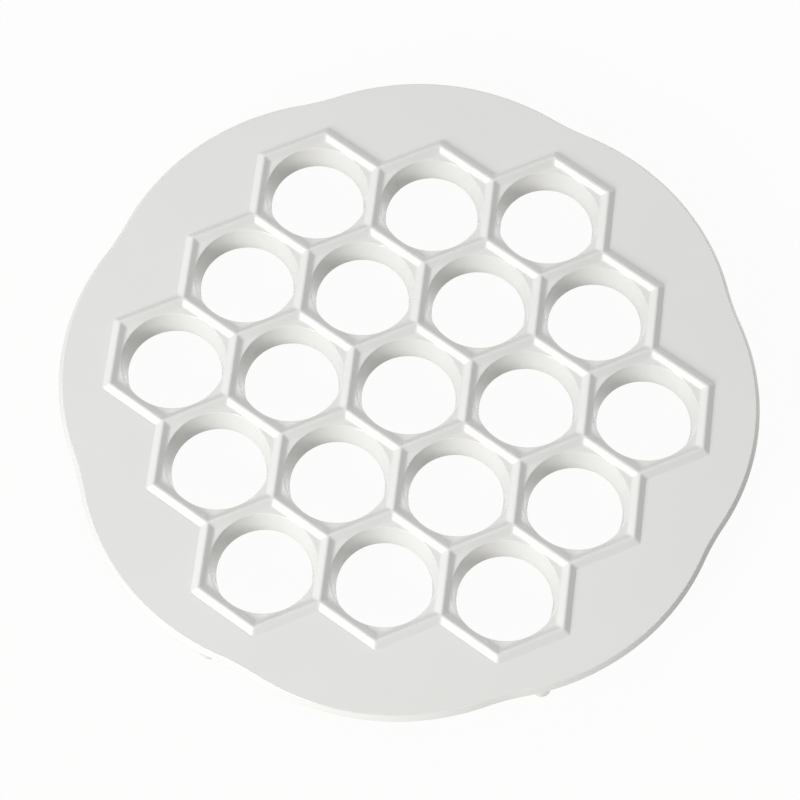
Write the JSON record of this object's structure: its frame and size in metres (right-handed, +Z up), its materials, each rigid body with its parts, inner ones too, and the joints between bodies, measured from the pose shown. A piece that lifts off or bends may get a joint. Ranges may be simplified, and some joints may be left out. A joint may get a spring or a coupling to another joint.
{
  "type": "ravioli mould",
  "caption": "Round lobed plastic mould with a honeycomb of raised cutting ribs and a tapered drop-through hole in each cell, standing on short peg feet.",
  "frame": {"origin": "on the surface it stands on, below the middle of the centre cell", "axes": "+Z up through the holes, +X along the rows of cells, -Y towards the front"},
  "size_m": [0.24, 0.24, 0.0194],
  "materials": {
    "white_plastic": "glossy moulded",
    "foot_plastic": "satin moulded"
  },
  "bodies": {
    "root": {"mould_plate": "white_plastic", "foot_right": "foot_plastic", "foot_rear_right": "foot_plastic", "foot_rear_left": "foot_plastic", "foot_left": "foot_plastic", "foot_front_left": "foot_plastic", "foot_front_right": "foot_plastic"}
  },
  "joints": []
}
